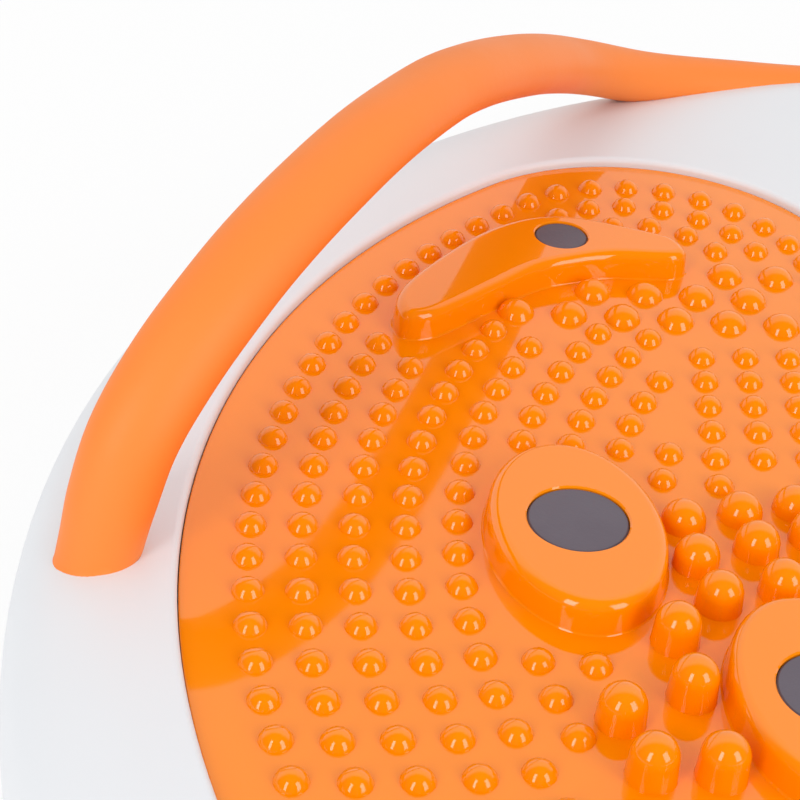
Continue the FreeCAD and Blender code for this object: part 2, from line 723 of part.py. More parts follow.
def base_plate():
    """Stationary lower moulding: floor, outer wall, race seat, hub, ribs and foot seats."""
    floor = rod(base_radius, base_bottom_z, base_floor_z)
    overlap = base_thickness / 2
    seat_in = race_radius - race_seat_half_width
    seat_out = race_radius + race_seat_half_width
    race_in = race_radius - race_half_width - race_side_clearance
    race_out = race_radius + race_half_width + race_side_clearance
    low_z = base_floor_z - overlap
    lip_z = lower_race_z + race_thickness / 2
    parts = [tube(base_radius, base_radius - base_wall, low_z, base_wall_top_z),
             tube(seat_out, seat_in, low_z, lower_race_z),
             tube(seat_out, race_out, lower_race_z - overlap, lip_z),
             tube(race_in, seat_in, lower_race_z - overlap, lip_z),
             rod(hub_radius, low_z, hub_top_z)]
    for i in range(base_rib_count):
        start = hub_radius - base_wall
        rib = Part.makeBox(base_radius - base_wall / 2 - start, base_rib_thickness,
                           race_seat_height + overlap - running_gap,
                           V(start, -base_rib_thickness / 2, low_z))
        rib.rotate(ORIGIN, UP, i * full_turn / base_rib_count)
        parts.append(rib)
    for place in foot_places():
        parts.append(rod(foot_boss_radius, low_z, base_floor_z + foot_boss_height, place))
    plate = floor.multiFuse(parts)
    tools = [rod(hub_recess_radius, base_bottom_z - overrun, hub_recess_top_z),
             rod(bush_radius + seat_fit, hub_recess_top_z - overrun, hub_top_z + overrun)]
    hole_top_z = foot_height - screw_head_height + screw_length + screw_hole_spare
    for place in foot_places():
        tools.append(rod(foot_radius + foot_seat_clearance, base_bottom_z - overrun,
                         base_bottom_z + foot_seat_depth, place))
        tools.append(rod(screw_radius + screw_hole_clearance, base_bottom_z, hole_top_z, place))
    return plate.cut(Part.makeCompound(tools))


def rubber_foot(place):
    """Round rubber foot with a countersunk hole for its screw."""
    foot = rod(foot_radius, 0, foot_height, place)
    lower = [e for e in foot.Edges
             if e.BoundBox.ZMax < foot_height / 2 and len(e.Vertexes) == 1]
    foot = foot.makeFillet(foot_edge_round, lower)
    head_room = rod(screw_head_radius + foot_seat_clearance, -overrun,
                    foot_height - screw_head_height, place)
    hole = rod(screw_radius + foot_seat_clearance, 0, foot_height + overrun, place)
    return foot.cut(head_room).cut(hole)


def under_cover():
    """Flat ring that closes the rim from below, with a raised inner lip."""
    outer = disc_radius - skirt_taper - shell_wall - cover_edge_gap
    ring = tube(outer, cover_inner_radius, skirt_bottom_z, cover_top_z)
    lip = tube(cover_inner_radius + cover_lip_wall, cover_inner_radius,
               cover_top_z - cover_thickness / 2, cover_top_z + cover_lip_height)
    tools = [rod(screw_radius + screw_hole_clearance, skirt_bottom_z - overrun,
                 cover_top_z + overrun, p) for p in cover_screw_places()]
    return ring.fuse(lip).cut(Part.makeCompound(tools))


def base_bush():
    """Flanged plastic bush in the base hub, in which the pivot bolt turns."""
    low_z = hub_recess_top_z - bush_flange_thickness
    sleeve = tube(bush_radius, bolt_radius + bolt_fit, low_z, hub_top_z)
    flange = tube(bush_flange_radius, bolt_radius + bolt_fit, low_z, hub_recess_top_z)
    return sleeve.fuse(flange)


def pivot_bolt():
    """Bolt that hangs the base on the top shell and turns with the shell."""
    head = rod(bolt_head_radius, washer_bottom_z - bolt_head_height, washer_bottom_z)
    rim = [e for e in head.Edges if e.BoundBox.ZMax < washer_bottom_z - bolt_head_height / 2]
    head = head.makeChamfer(bolt_head_edge, rim)
    hexagon = Part.makePolygon([polar(bolt_socket_radius, i * full_turn / 6) for i in range(7)])
    socket = Part.Face(hexagon).extrude(V(0, 0, bolt_socket_depth + overrun))
    socket.translate(V(0, 0, washer_bottom_z - bolt_head_height - overrun))
    shank = rod(bolt_radius, washer_bottom_z - bolt_head_height / 4,
                turret_bottom_z + running_gap + nut_insert_length - bolt_tip_gap)
    return head.fuse(shank).cut(socket)


def nut_insert():
    """Brass threaded insert moulded into the turret."""
    low = turret_bottom_z + running_gap
    return tube(nut_insert_radius, bolt_radius + seat_fit, low, low + nut_insert_length)


def save(name, shape):
    shape.exportStep("parts/" + name + ".step")
    print(name, len(shape.Solids), "solids", round(shape.Volume / 1000, 2), "cm3", shape.isValid())


def build():
    os.makedirs("parts", exist_ok=True)
    save("top_shell", top_shell())
    insert = foot_insert()
    save("left_foot_insert", insert)
    save("right_foot_insert", mirrored(insert))
    for name, place, radius in magnet_places():
        disc = magnet(place, radius)
        save("left_" + name, disc)
        save("right_" + name, mirrored(disc))
    insert_screws = Part.makeCompound([screw(on_pad(s), tray_bottom_z, insert_screw_length,
                                             washer_face_radius)
                                       for s in insert_screw_place_shares])
    save("left_insert_screws", insert_screws)
    save("right_insert_screws", mirrored(insert_screws))
    left_handle = handle()
    save("left_handle", left_handle)
    save("right_handle", mirrored(left_handle))
    handle_screws = Part.makeCompound([screw(p, handle_screw_seat_z, handle_screw_length,
                                             screw_head_radius)
                                       for p in handle_screw_places()])
    save("left_handle_screws", handle_screws)
    save("right_handle_screws", mirrored(handle_screws))
    save("under_cover", under_cover())
    save("cover_screws", Part.makeCompound([screw(p, skirt_bottom_z, screw_length, screw_head_radius)
                                            for p in cover_screw_places()]))
    save("upper_race", race_ring(upper_race_z, race_deck_z))
    save("threaded_insert", nut_insert())
    save("pivot_bolt", pivot_bolt())
    save("pivot_washer", tube(washer_radius, bolt_radius + seat_fit, washer_bottom_z, washer_top_z))
    save("thrust_washer", tube(thrust_washer_radius, bolt_radius + bolt_fit + running_gap,
                               hub_top_z + running_gap, turret_bottom_z))
    balls = [Part.makeSphere(ball_radius, p) for p in ball_places()]
    save("bearing_balls", Part.makeCompound(balls))
    save("ball_cage", ball_cage())
    save("lower_race", race_ring(lower_race_z, lower_race_z + race_thickness))
    save("base_plate", base_plate())
    save("base_bush", base_bush())
    save("rubber_feet", Part.makeCompound([rubber_foot(p) for p in foot_places()]))
    save("foot_screws", Part.makeCompound([screw(p, foot_height - screw_head_height, screw_length,
                                                 screw_head_radius) for p in foot_places()]))


build()
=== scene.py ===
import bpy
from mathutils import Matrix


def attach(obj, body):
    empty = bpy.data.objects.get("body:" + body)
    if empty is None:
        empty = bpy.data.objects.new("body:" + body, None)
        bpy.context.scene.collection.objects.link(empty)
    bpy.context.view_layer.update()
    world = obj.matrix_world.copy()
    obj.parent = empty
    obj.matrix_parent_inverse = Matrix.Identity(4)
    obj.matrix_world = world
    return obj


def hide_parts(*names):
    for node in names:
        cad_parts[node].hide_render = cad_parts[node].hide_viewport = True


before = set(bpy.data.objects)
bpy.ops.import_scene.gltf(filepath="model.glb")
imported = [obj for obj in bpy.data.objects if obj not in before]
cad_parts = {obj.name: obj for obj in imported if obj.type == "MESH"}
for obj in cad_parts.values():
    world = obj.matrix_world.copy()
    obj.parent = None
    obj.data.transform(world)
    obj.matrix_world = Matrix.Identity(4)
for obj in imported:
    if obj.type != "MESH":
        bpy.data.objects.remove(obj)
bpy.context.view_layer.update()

import math

import bmesh
import bpy
from mathutils import Matrix, Vector

# Waist twisting disc, put together from the floor up. Shapes are worked in millimetres and
# brought to metres as each piece is finished. +Z is the spin axis, +Y points to the toes.

# Studio: a pale paper sweep with white ahead of the viewer, and two tall soft boxes in the dark
# room behind. The camera stands where the photograph was taken, low over the left foot pad.
bpy.context.scene.view_settings.view_transform = "Standard"
camera = bpy.data.objects.new("camera", bpy.data.cameras.new("camera"))
camera.data.sensor_width = 36
camera.data.lens = 83.75
camera.data.clip_start = 0.01
camera_place = (-0.1414, -0.2369, 0.2256)
camera_tilt, camera_roll = math.radians(55.8), math.radians(4.8)
camera.matrix_world = (Matrix.Translation(camera_place) @ Matrix.Rotation(camera_tilt, 4, "X")
                       @ Matrix.Rotation(camera_roll, 4, "Z"))
bpy.context.scene.collection.objects.link(camera)
bpy.context.scene.camera = camera
box_aim = Vector((-0.1, 0.0, 0.04))


def soft_box(name, place, width, height, watts):
    """A rectangular lamp that faces the disc; sizes and places are in metres."""
    lamp = bpy.data.lights.new(name, "AREA")
    lamp.shape = "RECTANGLE"
    lamp.size, lamp.size_y, lamp.energy = width, height, watts
    lit = bpy.data.objects.new(name, lamp)
    lit.location = place
    lit.rotation_euler = (box_aim - Vector(place)).to_track_quat("-Z", "Y").to_euler()
    bpy.context.scene.collection.objects.link(lit)


soft_box("left_box", (-0.79, -1.0, 0.74), width=0.36, height=0.95, watts=5.5)
soft_box("right_box", (0.86, -0.78, 0.70), width=0.6, height=0.95, watts=6.5)


def wired(tree, node_type, **settings):
    """Adds a node; a setting names a property, or an input socket with its value."""
    node = tree.nodes.new(node_type)
    for key, value in settings.items():
        if hasattr(node, key):
            setattr(node, key, value)
        else:
            node.inputs[key.replace("_", " ")].default_value = value
    return node


def seen_directly(tree):
    """One where a camera, glossy or transmission ray looks, else nothing."""
    path = wired(tree, "ShaderNodeLightPath")
    first = wired(tree, "ShaderNodeMath", operation="MAXIMUM")
    both = wired(tree, "ShaderNodeMath", operation="MAXIMUM")
    tree.links.new(path.outputs["Is Camera Ray"], first.inputs[0])
    tree.links.new(path.outputs["Is Glossy Ray"], first.inputs[1])
    tree.links.new(first.outputs[0], both.inputs[0])
    tree.links.new(path.outputs["Is Transmission Ray"], both.inputs[1])
    return both.outputs[0]


room = bpy.data.worlds.new("white_room")
room.use_nodes = True
bpy.context.scene.world = room
sky = room.node_tree
sky.nodes.clear()
fill = wired(sky, "ShaderNodeBackground", Color=(1, 1, 1, 1), Strength=0.78)
white = wired(sky, "ShaderNodeBackground", Color=(1, 1, 1, 1), Strength=1.0)
room_dark = wired(sky, "ShaderNodeBackground", Color=(1, 1, 1, 1), Strength=0.05)
sky_way = wired(sky, "ShaderNodeTexCoord")
facing = wired(sky, "ShaderNodeVectorMath", operation="DOT_PRODUCT")
facing.inputs[1].default_value = (0, -1, 0)
behind = wired(sky, "ShaderNodeMapRange", interpolation_type="SMOOTHSTEP",
               From_Min=-0.45, From_Max=-0.05)
sky_path = wired(sky, "ShaderNodeLightPath")
gloss_behind = wired(sky, "ShaderNodeMath", operation="MULTIPLY", use_clamp=True)
dark_mix = wired(sky, "ShaderNodeMixShader")
sky_mix = wired(sky, "ShaderNodeMixShader")
sky_out = wired(sky, "ShaderNodeOutputWorld")
# Gloss sees the white sweep ahead and the dark room behind
sky.links.new(sky_way.outputs["Generated"], facing.inputs[0])
sky.links.new(facing.outputs["Value"], behind.inputs["Value"])
sky.links.new(behind.outputs[0], gloss_behind.inputs[0])
sky.links.new(sky_path.outputs["Is Glossy Ray"], gloss_behind.inputs[1])
sky.links.new(gloss_behind.outputs[0], dark_mix.inputs[0])
sky.links.new(white.outputs[0], dark_mix.inputs[1])
sky.links.new(room_dark.outputs[0], dark_mix.inputs[2])
sky.links.new(seen_directly(sky), sky_mix.inputs[0])
sky.links.new(fill.outputs[0], sky_mix.inputs[1])
sky.links.new(dark_mix.outputs[0], sky_mix.inputs[2])
sky.links.new(sky_mix.outputs[0], sky_out.inputs[0])

floor_half_side = 4.0
floor_shape = bmesh.new()
bmesh.ops.create_grid(floor_shape, x_segments=2, y_segments=2, size=floor_half_side)
floor_mesh = bpy.data.meshes.new("floor")
floor_shape.to_mesh(floor_mesh)
floor_shape.free()
floor = bpy.data.objects.new("floor", floor_mesh)
bpy.context.scene.collection.objects.link(floor)
paper = bpy.data.materials.new("floor_paper")
paper.use_nodes = True
tree = paper.node_tree
tree.nodes.clear()
fibre = wired(tree, "ShaderNodeTexNoise", Scale=9.0, Detail=3.0)
paper_tone = wired(tree, "ShaderNodeMapRange", To_Min=0.94, To_Max=0.98)
matt = wired(tree, "ShaderNodeBsdfDiffuse")
glow = wired(tree, "ShaderNodeEmission", Color=(1, 1, 1, 1), Strength=1.0)
glow_share = 0.86
share = wired(tree, "ShaderNodeMath", operation="MULTIPLY")
share.inputs[1].default_value = glow_share
paper_mix = wired(tree, "ShaderNodeMixShader")
paper_out = wired(tree, "ShaderNodeOutputMaterial")
tree.links.new(fibre.outputs["Fac"], paper_tone.inputs["Value"])
tree.links.new(paper_tone.outputs[0], matt.inputs["Color"])
tree.links.new(seen_directly(tree), share.inputs[0])
tree.links.new(share.outputs[0], paper_mix.inputs[0])
tree.links.new(matt.outputs[0], paper_mix.inputs[1])
tree.links.new(glow.outputs[0], paper_mix.inputs[2])
tree.links.new(paper_mix.outputs[0], paper_out.inputs[0])
floor.data.materials.append(paper)


# Base plate: the grey lower moulding that stays still on the floor. One injection-moulded disc
# with an outer wall, stiffening rings underneath, foot collars and a hub for the pivot.
TURN = 2 * math.pi
BASE_R, BASE_WALL, BASE_WALL_TOP = 162, 3, 16
UNDERSIDE, DECK = 3.5, 7
HUB_R, HUB_TOP, HUB_BORE_R = 18, 16, 6.03
HUB_RECESS_R, HUB_RECESS_TOP = 12.5, 10.5
RACE_R, SEAT_HALF_WIDTH, SEAT_ROOM = 120, 11, 8.1
SEAT_TOP, SEAT_FLOOR = 12, 10
GROOVES, GROOVE_DEPTH, GROOVE_SLOPE = ((157, 126), (95, 62), (27, 21)), 0.6, 1
BASE_EDGE, BASE_EDGE_BAND = 0.6, 12
RIB_COUNT, RIB_LENGTH, RIB_WIDTH, RIB_HEIGHT = 8, 132, 2.4, 1.6
RIB_MIDDLE_R, RIB_MIDDLE_Z, RIB_EDGE = 90, 4.4, 0.3
FOOT_COUNT, FOOT_RING_R = 8, 143
COLLAR_IN_R, COLLAR_OUT_R, COLLAR_BOTTOM, COLLAR_TOP, COLLAR_EDGE = 13.15, 16, 3.2, 4.6, 0.35


def turned(bm, profile, steps=180, closed=True):
    """Turns a few profile points, given as radius and height, round the spin axis."""
    points = [bm.verts.new((r, 0, z)) for r, z in profile]
    ends = points[1:] + points[:1] if closed else points[1:]
    edges = [bm.edges.new(pair) for pair in zip(points, ends)]
    bmesh.ops.spin(bm, geom=points + edges, axis=(0, 0, 1), cent=(0, 0, 0), angle=TURN,
                   steps=steps, use_merge=True)
    bmesh.ops.remove_doubles(bm, verts=bm.verts, dist=1e-4)


def softened(bm, width, segments=3, least=35, where=lambda e: True):
    """Rounds every edge sharper than an angle."""
    sharp = [e for e in bm.edges if e.is_manifold
             and e.calc_face_angle() > math.radians(least) and where(e)]
    bmesh.ops.bevel(bm, geom=sharp, offset=width, segments=segments, profile=0.5,
                    affect="EDGES", material=-1, clamp_overlap=True)


def corners_of(geom):
    return [g for g in geom if isinstance(g, bmesh.types.BMVert)]


def moved_copies(bm, places):
    """Copies a finished shape that stands at the origin to every place."""
    first = bm.verts[:] + bm.edges[:] + bm.faces[:]
    for place in places[1:]:
        made = bmesh.ops.duplicate(bm, geom=first)["geom"]
        bmesh.ops.translate(bm, vec=place, verts=corners_of(made))
    bmesh.ops.translate(bm, vec=places[0], verts=corners_of(first))


def joined(bm, *others):
    """Adds finished shapes to a shape."""
    for other in others:
        mesh = bpy.data.meshes.new("part")
        other.to_mesh(mesh)
        other.free()
        bm.from_mesh(mesh)
        bpy.data.meshes.remove(mesh)


def round_places(radius, count, first):
    angles = [first + i * TURN / count for i in range(count)]
    return [(radius * math.cos(a), radius * math.sin(a), 0) for a in angles]


def piece(bm, name, body, material, stands_for, smooth=40, weighted=True):
    """Finishes a shape: outward faces, metres, smooth sides and crisp edges, then its body."""
    bmesh.ops.recalc_face_normals(bm, faces=bm.faces)
    bmesh.ops.scale(bm, vec=(0.001, 0.001, 0.001), verts=bm.verts)
    for face in bm.faces:
        face.smooth = True
    for edge in bm.edges:
        edge.smooth = not edge.is_manifold or edge.calc_face_angle() < math.radians(smooth)
    mesh = bpy.data.meshes.new(name)
    bm.to_mesh(mesh)
    bm.free()
    made = bpy.data.objects.new(name, mesh)
    bpy.context.scene.collection.objects.link(made)
    made.data.materials.append(material)
    if weighted:
        weight = made.modifiers.new("weighted", "WEIGHTED_NORMAL")
        weight.mode, weight.keep_sharp = "FACE_AREA", True
    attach(made, body)
    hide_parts(*stands_for)
    return made


def socket(group, name, way, kind="NodeSocketFloat", value=None):
    made = group.interface.new_socket(name=name, in_out=way, socket_type=kind)
    if value is not None:
        made.default_value = value


def skin_group():
    """Surface of a moulding: spark-eroded grain, faint flow marks and handling smears."""
    group = bpy.data.node_groups.new("moulded_skin", "ShaderNodeTree")
    socket(group, "Grain Scale", "INPUT", value=900.0)
    socket(group, "Grain Depth", "INPUT", value=0.1)
    socket(group, "Wave Depth", "INPUT", value=0.0)
    socket(group, "Smear", "OUTPUT")
    socket(group, "Flow", "OUTPUT")
    socket(group, "Normal", "OUTPUT", kind="NodeSocketVector")
    inlet = wired(group, "NodeGroupInput")
    outlet = wired(group, "NodeGroupOutput")
    coords = wired(group, "ShaderNodeTexCoord")
    grain = wired(group, "ShaderNodeTexNoise", Detail=2.0, Roughness=0.6)
    wave = wired(group, "ShaderNodeTexNoise", Scale=26.0, Detail=1.0)
    smear = wired(group, "ShaderNodeTexNoise", Scale=38.0, Detail=6.0, Roughness=0.62)
    flow = wired(group, "ShaderNodeTexNoise", Scale=7.0, Detail=3.0)
    smear_edge = wired(group, "ShaderNodeMapRange", From_Min=0.45, From_Max=0.72)
    slow = wired(group, "ShaderNodeBump", Distance=0.001)
    fine = wired(group, "ShaderNodeBump", Distance=0.0001)
    link = group.links.new
    for texture in (grain, wave, smear, flow):
        link(coords.outputs["Object"], texture.inputs["Vector"])
    link(inlet.outputs["Grain Scale"], grain.inputs["Scale"])
    link(inlet.outputs["Grain Depth"], fine.inputs["Strength"])
    link(inlet.outputs["Wave Depth"], slow.inputs["Strength"])
    link(wave.outputs["Fac"], slow.inputs["Height"])
    link(grain.outputs["Fac"], fine.inputs["Height"])
    link(slow.outputs["Normal"], fine.inputs["Normal"])
    link(smear.outputs["Fac"], smear_edge.inputs["Value"])
    link(smear_edge.outputs[0], outlet.inputs["Smear"])
    link(flow.outputs["Fac"], outlet.inputs["Flow"])
    link(fine.outputs["Normal"], outlet.inputs["Normal"])
    return group


moulded_skin = skin_group()


def finish(name, tone, deep, rough, smear_rough, grain_scale, grain_depth, wave_depth=0.0,
           **shader):
    """Material with its colour drifting between two tones and its gloss broken by smears."""
    made = bpy.data.materials.new(name)
    made.use_nodes = True
    tree = made.node_tree
    skin = wired(tree, "ShaderNodeGroup", node_tree=moulded_skin)
    skin.inputs["Grain Scale"].default_value = grain_scale
    skin.inputs["Grain Depth"].default_value = grain_depth
    skin.inputs["Wave Depth"].default_value = wave_depth
    colour = wired(tree, "ShaderNodeMix", data_type="RGBA")
    colour.inputs[6].default_value = (*tone, 1)
    colour.inputs[7].default_value = (*deep, 1)
    gloss = wired(tree, "ShaderNodeMapRange", To_Min=rough, To_Max=smear_rough)
    body = tree.nodes["Principled BSDF"]
    for key, value in shader.items():
        body.inputs[key.replace("_", " ")].default_value = value
    link = tree.links.new
    link(skin.outputs["Flow"], colour.inputs["Factor"])
    link(colour.outputs[2], body.inputs["Base Color"])
    link(skin.outputs["Smear"], gloss.inputs["Value"])
    link(gloss.outputs[0], body.inputs["Roughness"])
    link(skin.outputs["Normal"], body.inputs["Normal"])
    return made


base_grey = finish("base_grey", tone=(0.105, 0.11, 0.12), deep=(0.085, 0.09, 0.10), rough=0.5,
                   smear_rough=0.62, grain_scale=700.0, grain_depth=0.5)
plate_section = [
    (HUB_RECESS_R, UNDERSIDE), (HUB_RECESS_R, HUB_RECESS_TOP), (HUB_BORE_R, HUB_RECESS_TOP),
    (HUB_BORE_R, HUB_TOP), (HUB_R, HUB_TOP), (HUB_R, DECK),
    (RACE_R - SEAT_HALF_WIDTH, DECK), (RACE_R - SEAT_HALF_WIDTH, SEAT_TOP),
    (RACE_R - SEAT_ROOM, SEAT_TOP), (RACE_R - SEAT_ROOM, SEAT_FLOOR),
    (RACE_R + SEAT_ROOM, SEAT_FLOOR), (RACE_R + SEAT_ROOM, SEAT_TOP),
    (RACE_R + SEAT_HALF_WIDTH, SEAT_TOP), (RACE_R + SEAT_HALF_WIDTH, DECK),
    (BASE_R - BASE_WALL, DECK), (BASE_R - BASE_WALL, BASE_WALL_TOP),
    (BASE_R, BASE_WALL_TOP), (BASE_R, UNDERSIDE)]
for groove_out, groove_in in GROOVES:
    plate_section += [(groove_out + GROOVE_SLOPE, UNDERSIDE),
                      (groove_out, UNDERSIDE + GROOVE_DEPTH),
                      (groove_in, UNDERSIDE + GROOVE_DEPTH),
                      (groove_in - GROOVE_SLOPE, UNDERSIDE)]
plate = bmesh.new()
turned(plate, plate_section)
softened(plate, BASE_EDGE,
         where=lambda e: all(v.co.xy.length > BASE_R - BASE_EDGE_BAND for v in e.verts))
ribs = bmesh.new()
bmesh.ops.create_cube(ribs, size=1)
bmesh.ops.scale(ribs, vec=(RIB_LENGTH, RIB_WIDTH, RIB_HEIGHT), verts=ribs.verts)
bmesh.ops.translate(ribs, vec=(RIB_MIDDLE_R, 0, RIB_MIDDLE_Z), verts=ribs.verts)
softened(ribs, RIB_EDGE, segments=2)
first_rib = ribs.verts[:] + ribs.edges[:] + ribs.faces[:]
for k in range(1, RIB_COUNT):
    made = bmesh.ops.duplicate(ribs, geom=first_rib)["geom"]
    bmesh.ops.rotate(ribs, cent=(0, 0, 0), matrix=Matrix.Rotation(k * TURN / RIB_COUNT, 3, "Z"),
                     verts=corners_of(made))
foot_ring = round_places(FOOT_RING_R, FOOT_COUNT, TURN / FOOT_COUNT / 2)
collars = bmesh.new()
turned(collars, [(COLLAR_IN_R, COLLAR_BOTTOM), (COLLAR_IN_R, COLLAR_TOP),
                 (COLLAR_OUT_R, COLLAR_TOP), (COLLAR_OUT_R, COLLAR_BOTTOM)], steps=48)
softened(collars, COLLAR_EDGE, segments=2)
moved_copies(collars, foot_ring)
joined(plate, ribs, collars)
piece(plate, "base_plate_moulding", "base", base_grey, ["base_plate"])


# Rubber feet: eight round pads pressed into the base, each held by a screw in a counterbore.
# Black rubber with shallow grip rings on the sole.
foot_rubber = finish("foot_rubber", tone=(0.022, 0.022, 0.024), deep=(0.03, 0.03, 0.031),
                     rough=0.72, smear_rough=0.85, grain_scale=520.0, grain_depth=0.8)
FOOT_R, FOOT_TOP, FOOT_EDGE, FOOT_EDGE_SHARE = 13, 5, 1.0, 0.3
COUNTERBORE_R, COUNTERBORE_TOP, SCREW_HOLE_R = 3.35, 2.8, 1.65
GRIP_FIRST_R, GRIP_PITCH, GRIP_SLOPE, GRIP_GROOVE, GRIP_DEPTH = 11.2, 2.6, 0.3, 1.0, 0.5
GRIP_RING_COUNT = 2
sole = [(COUNTERBORE_R, GRIP_DEPTH), (COUNTERBORE_R, COUNTERBORE_TOP),
        (SCREW_HOLE_R, COUNTERBORE_TOP), (SCREW_HOLE_R, FOOT_TOP), (FOOT_R, FOOT_TOP),
        (FOOT_R, FOOT_EDGE), (FOOT_R - FOOT_EDGE * FOOT_EDGE_SHARE, FOOT_EDGE * FOOT_EDGE_SHARE),
        (FOOT_R - FOOT_EDGE, 0)]
for k in range(GRIP_RING_COUNT + 1):
    ring_r = GRIP_FIRST_R - k * GRIP_PITCH
    sole += [(ring_r, 0), (ring_r - GRIP_SLOPE, GRIP_DEPTH)]
    if k < GRIP_RING_COUNT:
        sole += [(ring_r - GRIP_SLOPE - GRIP_GROOVE, GRIP_DEPTH),
                 (ring_r - 2 * GRIP_SLOPE - GRIP_GROOVE, 0)]
feet = bmesh.new()
turned(feet, sole, steps=48)
moved_copies(feet, foot_ring)
piece(feet, "rubber_feet_soles", "base", foot_rubber, ["rubber_feet"])


# Steel fasteners and the centre pivot: zinc-plated pan head screws, a socket head bolt with its
# washer, a flanged plastic bush, a thrust washer and a knurled brass insert. The races and the
# balls are bearing steel, and the flat ball cage is moulded acetal.
def metal(name, tone, rough, brushed):
    """Bare metal, its roughness and colour broken up by turning marks and handling."""
    return finish(name, tone=tone, deep=[0.8 * c for c in tone], rough=rough,
                  smear_rough=rough + 0.18, grain_scale=brushed, grain_depth=0.15, Metallic=1.0)


def dress(nodes, material):
    """Gives a node that keeps its own shape its finish."""
    for name in nodes:
        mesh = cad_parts[name].data
        mesh.materials.clear()
        mesh.materials.append(material)


zinc = metal("zinc_plate", (0.62, 0.62, 0.64), rough=0.3, brushed=1400.0)
race_steel = metal("race_steel", (0.50, 0.51, 0.53), rough=0.32, brushed=1100.0)
ball_steel = metal("ball_steel", (0.75, 0.76, 0.78), rough=0.08, brushed=2000.0)
brass = metal("turned_brass", (0.72, 0.50, 0.20), rough=0.28, brushed=1500.0)
slide_white = finish("slide_plastic", tone=(0.66, 0.65, 0.60), deep=(0.60, 0.59, 0.54), rough=0.4,
                     smear_rough=0.5, grain_scale=800.0, grain_depth=0.2)
dress(["foot_screws", "left_insert_screws", "right_insert_screws", "left_handle_screws",
       "right_handle_screws", "cover_screws", "pivot_bolt", "pivot_washer"], zinc)
dress(["upper_race", "lower_race"], race_steel)
dress(["bearing_balls"], ball_steel)
dress(["threaded_insert"], brass)
dress(["base_bush", "thrust_washer", "ball_cage"], slide_white)


# Top shell: the big white moulding that turns. Flat in the middle with a soft shoulder round the
# rim, and two foot-shaped pockets whose lips are rounded over.
shell_white = finish("shell_white", tone=(0.80, 0.815, 0.84), deep=(0.775, 0.79, 0.82),
                     rough=0.38, smear_rough=0.5, grain_scale=620.0, grain_depth=0.12,
                     wave_depth=0.02, Specular_IOR_Level=0.45)
DISC_R, SHELL_WALL = 200.0, 3
SHELL_TOP, SHELL_CEILING, POCKET_FLOOR = 43.8, 36, 39.0
CREST_ROUND, CREST_LEAN, CREST_STEPS = 38, math.radians(15), 6
EDGE_ROUND, EDGE_STEPS = 11, 14
SKIRT_FOOT, SKIRT_TAPER, SKIRT_EDGE, SKIRT_EDGE_BAND = 12, 6, 0.6, 1
LIP_ROUND, LIP_STEPS, LIP_SPREAD, CUT_OVERRUN = 1.2, 6, 0.05, 2
WIDE_R, WIDE_AT, WIDE_STEPS = 168.0, Vector((-6.0, 0, 0)), 72
TOE_R, TOE_ANGLE = 43.6, math.radians(135.2)
HEEL_R, HEEL_ANGLE = 42.0, math.radians(225.0)
END_STEPS = 54


def aside(radius, angle, z=0.0):
    return Vector((radius * math.cos(angle), radius * math.sin(angle), z))


TOE_AT = WIDE_AT + aside(WIDE_R - TOE_R, TOE_ANGLE)
HEEL_AT = WIDE_AT + aside(WIDE_R - HEEL_R, HEEL_ANGLE)
between = TOE_AT - HEEL_AT
SIDE_ANGLE = math.atan2(between.y, between.x) - math.acos((HEEL_R - TOE_R) / between.length)


def swing(bm, vert, centre, axis, angle, steps):
    """Carries a point round a centre and leaves an edge chain; the last point comes back."""
    made = bmesh.ops.spin(bm, geom=[vert], cent=centre, axis=axis, angle=angle, steps=steps,
                          use_merge=False)
    return corners_of(made["geom_last"])[0]


def foot_outline(bm, grow, z):
    """Edge of the left foot pad, grown by a length: wide arc, heel arc, straight side, toe arc."""
    old = set(bm.edges)
    start = bm.verts.new(WIDE_AT + aside(WIDE_R + grow, TOE_ANGLE, z))
    up = (0, 0, 1)
    v = swing(bm, start, WIDE_AT, up, HEEL_ANGLE - TOE_ANGLE, WIDE_STEPS)
    v = swing(bm, v, HEEL_AT, up, SIDE_ANGLE + TURN - HEEL_ANGLE, END_STEPS)
    side_end = bmesh.ops.extrude_vert_indiv(bm, verts=[v])["verts"][0]
    side_end.co = TOE_AT + aside(TOE_R + grow, SIDE_ANGLE, z)
    v = swing(bm, side_end, TOE_AT, up, TOE_ANGLE - SIDE_ANGLE, END_STEPS)
    bmesh.ops.weld_verts(bm, targetmap={v: start})
    return [e for e in bm.edges if e not in old]


def stacked(bm, outline, levels):
    """Closed form through outlines, each a growth and a height, from the bottom to the top."""
    rings = [outline(bm, grow, z) for grow, z in levels]
    for low, high in zip(rings, rings[1:]):
        bmesh.ops.bridge_loops(bm, edges=low + high)
    bmesh.ops.contextual_create(bm, geom=rings[0])
    bmesh.ops.contextual_create(bm, geom=rings[-1])


def mirrored_too(bm):
    """Adds the right foot's twin."""
    bmesh.ops.mirror(bm, geom=bm.verts[:] + bm.edges[:] + bm.faces[:], axis="X",
                     merge_dist=-1.0)


